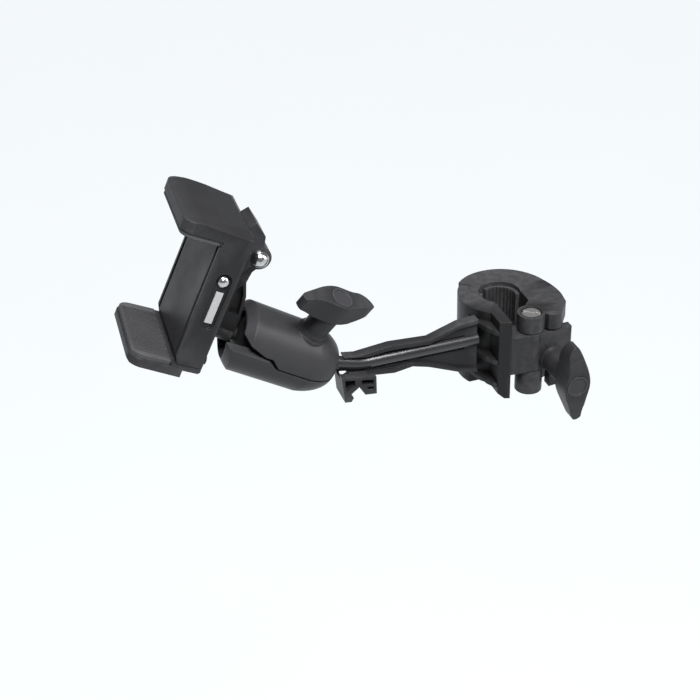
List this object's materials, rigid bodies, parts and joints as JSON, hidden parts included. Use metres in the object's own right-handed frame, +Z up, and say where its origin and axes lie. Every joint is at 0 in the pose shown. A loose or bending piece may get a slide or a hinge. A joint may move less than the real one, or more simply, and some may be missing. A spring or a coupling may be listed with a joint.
{
  "type": "phone mount with pole clamp",
  "caption": "Phone holder on a double ball-joint arm with a hinged pole clamp, wing knobs, tilting cradle and a sliding lower jaw.",
  "frame": {"origin": "on the axis of the clamped pole, at the clamp's mid height", "axes": "+Z up along the pole, -X from the pole towards the phone cradle, clamp knob towards -Y"},
  "size_m": [0.2093, 0.0784, 0.1266],
  "materials": {
    "clamp_plastic": "satin",
    "arm_plastic": "satin",
    "rod_steel": "satin black",
    "liner_rubber": "matte",
    "bright_steel": "satin",
    "dark_steel": "black oxide",
    "knob_plastic": "satin",
    "disc_plastic": "satin",
    "ball_plastic": "satin",
    "housing_plastic": "satin",
    "bracket_plastic": "satin",
    "chrome_pin": "polished",
    "cradle_plastic": "satin",
    "pad_rubber": "matte",
    "badge_grey": "satin"
  },
  "bodies": {
    "clamp_base": {"arm_jaw": "clamp_plastic", "jaw_liner": "liner_rubber", "hinge_screw": "bright_steel", "hinge_nut": "dark_steel", "clamp_bush": "bright_steel", "arm": "arm_plastic", "arm_rod": "rod_steel", "cable_clip": "arm_plastic"},
    "hook": {"hook_jaw": "clamp_plastic", "hook_liner": "liner_rubber"},
    "foot": {"pressure_foot": "dark_steel"},
    "clamp_screw": {"clamp_bolt": "dark_steel", "clamp_knob": "knob_plastic", "clamp_knob_disc": "disc_plastic"},
    "rear_joint": {"rear_ball": "ball_plastic"},
    "housing": {"socket_upper": "housing_plastic", "socket_washer": "dark_steel", "socket_spring": "dark_steel"},
    "lower_shell": {"socket_lower": "housing_plastic", "socket_bolt": "dark_steel"},
    "socket_wing": {"socket_knob": "knob_plastic", "socket_knob_disc": "disc_plastic"},
    "front_joint": {"front_ball": "ball_plastic"},
    "stem": {"ball_stem": "dark_steel", "stem_nut": "dark_steel", "tilt_bracket": "bracket_plastic", "tilt_washers": "dark_steel", "tilt_pin": "chrome_pin"},
    "cradle": {"cradle_housing": "cradle_plastic", "cradle_cover": "cradle_plastic", "cover_screws": "dark_steel", "upper_jaw_pad": "pad_rubber", "badge_bar": "badge_grey", "side_pin": "chrome_pin"},
    "slider": {"lower_jaw": "cradle_plastic", "lower_jaw_pad": "pad_rubber"}
  },
  "joints": [
    {"name": "foot_slide", "type": "slide", "parent": "clamp_base", "child": "foot", "axis": [0, -1, 0], "range_m": [0, 0.0035]},
    {"name": "clamp_knob_turn", "type": "hinge", "parent": "foot", "child": "clamp_screw", "pos_m": [0.0146, -0.03, -0.002], "axis": [0, -1, 0], "range_deg": [0, 1260]},
    {"name": "hook_swing", "type": "hinge", "parent": "clamp_base", "child": "hook", "pos_m": [0.0061, -0.0226, 0], "axis": [0, 0, 1], "range_deg": [-16, 0]},
    {"name": "rear_swivel", "type": "hinge", "parent": "clamp_base", "child": "rear_joint", "pos_m": [-0.0958, -0.014, 0.0126], "axis": [-0.9623, 0, 0.2722], "range_deg": [-175, 175]},
    {"name": "rear_tilt", "type": "hinge", "parent": "rear_joint", "child": "housing", "pos_m": [-0.0958, -0.014, 0.0126], "axis": [0, 1, 0], "range_deg": [-40, 16]},
    {"name": "socket_knob_turn", "type": "hinge", "parent": "housing", "child": "socket_wing", "pos_m": [-0.09863, -0.0198, 0.03329], "axis": [0.5049, -0.342, 0.7925], "range_deg": [0, 288]},
    {"name": "shell_open", "type": "slide", "parent": "housing", "child": "lower_shell", "axis": [-0.5049, 0.342, -0.7925], "range_m": [0, 0.0008]},
    {"name": "front_tilt", "type": "hinge", "parent": "housing", "child": "front_joint", "pos_m": [-0.12279, -0.014, 0.02979], "axis": [0.0436, 0.999, 0], "range_deg": [-22, 1]},
    {"name": "front_swivel", "type": "hinge", "parent": "front_joint", "child": "stem", "pos_m": [-0.12279, -0.014, 0.02979], "axis": [-0.8379, 0.0366, 0.5446], "range_deg": [-35, 15]},
    {"name": "cradle_tilt", "type": "hinge", "parent": "stem", "child": "cradle", "pos_m": [-0.1206, -0.0141, 0.0749], "axis": [0.0436, 0.999, 0], "range_deg": [0, 25]},
    {"name": "jaw_slide", "type": "slide", "parent": "cradle", "child": "slider", "axis": [-0.438, 0.0191, -0.8988], "range_m": [0, 0.03]}
  ],
  "couplings": [
    {"joint": "clamp_knob_turn", "follows": "foot_slide", "rad_per_m": 6283.2},
    {"joint": "hook_swing", "follows": "foot_slide", "rad_per_m": -79.288},
    {"joint": "socket_knob_turn", "follows": "shell_open", "rad_per_m": 6283.2}
  ]
}
